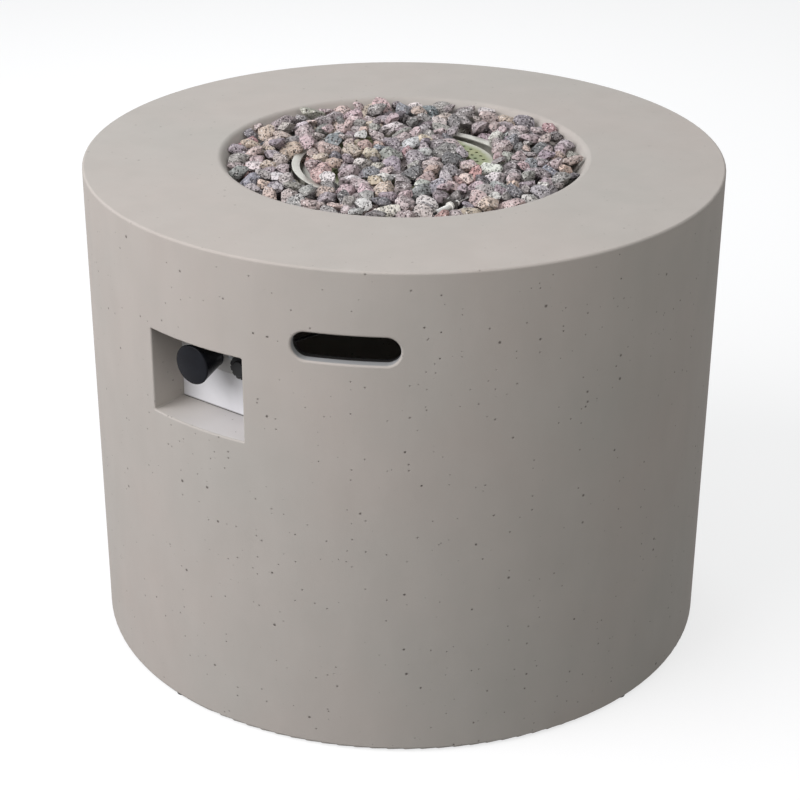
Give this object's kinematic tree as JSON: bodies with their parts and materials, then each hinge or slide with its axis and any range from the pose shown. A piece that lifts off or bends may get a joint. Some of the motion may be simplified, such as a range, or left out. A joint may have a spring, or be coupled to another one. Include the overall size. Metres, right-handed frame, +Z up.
{
  "type": "gas fire pit",
  "caption": "Round cast-concrete gas fire pit: drum with a flat deck, lava rock over a ring burner, a recessed push-and-turn knob and a push igniter, and finger slots in the wall.",
  "frame": {"origin": "on the ground, at the centre of the drum", "axes": "+Z up along the drum's axis, -Y out of the control recess, +X to the right of it"},
  "size_m": [0.78, 0.78, 0.61],
  "materials": {
    "concrete": "cast fibre cement, sealed, fine pinholes",
    "black_rubber": "matt",
    "bowl_steel": "heat-proof matt black",
    "burner_steel": "stainless with a straw heat tint",
    "zinc_steel": "bright zinc",
    "brass": "turned",
    "gas_tube_aluminium": "drawn",
    "plate_paint": "satin pale grey",
    "label_film": "bare white film",
    "valve_casting": "die cast",
    "stem_steel": "ground",
    "knob_black": "black, satin gloss",
    "igniter_black": "moulded black",
    "battery_wrap": "bare dark sleeve",
    "white_ceramic": "white glaze",
    "lead_sheath": "black silicone sheath",
    "copper_lead": "copper",
    "lava_stone": "porous mixed lava rock"
  },
  "bodies": {
    "fire_pit": {"concrete_body": "concrete", "rubber_feet": "black_rubber", "fire_bowl": "bowl_steel", "burner_top": "burner_steel", "burner_base": "burner_steel", "burner_pipe": "zinc_steel", "pipe_locknuts": "zinc_steel", "burner_posts": "burner_steel", "post_screws": "zinc_steel", "pipe_elbow": "zinc_steel", "air_mixer": "zinc_steel", "gas_jet": "brass", "gas_tube": "gas_tube_aluminium", "tube_nuts": "brass", "control_plate": "plate_paint", "plate_screws": "zinc_steel", "blank_label": "label_film", "gas_valve_body": "valve_casting", "valve_screws": "zinc_steel", "magnet_unit": "brass", "plunger_spring": "zinc_steel", "gas_inlet": "brass", "igniter_housing": "igniter_black", "igniter_nut": "igniter_black", "button_spring": "zinc_steel", "battery": "battery_wrap", "electrode_ceramic": "white_ceramic", "electrode_rod": "stem_steel", "thermocouple_probe": "stem_steel", "ignition_bracket": "zinc_steel", "bracket_screw": "zinc_steel", "bracket_nut": "zinc_steel", "lead_grommets": "black_rubber", "ignition_lead": "lead_sheath", "thermocouple_lead": "copper_lead", "thermocouple_nut": "brass", "lava_bed": "lava_stone", "lava_rocks": "lava_stone"},
    "push_plunger": {"valve_plunger": "brass"},
    "knob": {"control_knob": "knob_black", "valve_stem": "stem_steel"},
    "button": {"igniter_button": "igniter_black"}
  },
  "joints": [
    {"name": "knob_push", "type": "slide", "parent": "fire_pit", "child": "push_plunger", "axis": [0, 1, 0], "range_m": [0, 0.006], "stiffness_N_per_m": 900, "deforming": ["plunger_spring"]},
    {"name": "knob_turn", "type": "hinge", "parent": "push_plunger", "child": "knob", "pos_m": [-0.0105, -0.335, 0.459], "axis": [0, -1, 0], "range_deg": [0, 210]},
    {"name": "igniter_press", "type": "slide", "parent": "fire_pit", "child": "button", "axis": [0, 1, 0], "range_m": [0, 0.004], "stiffness_N_per_m": 600, "deforming": ["button_spring"]}
  ]
}
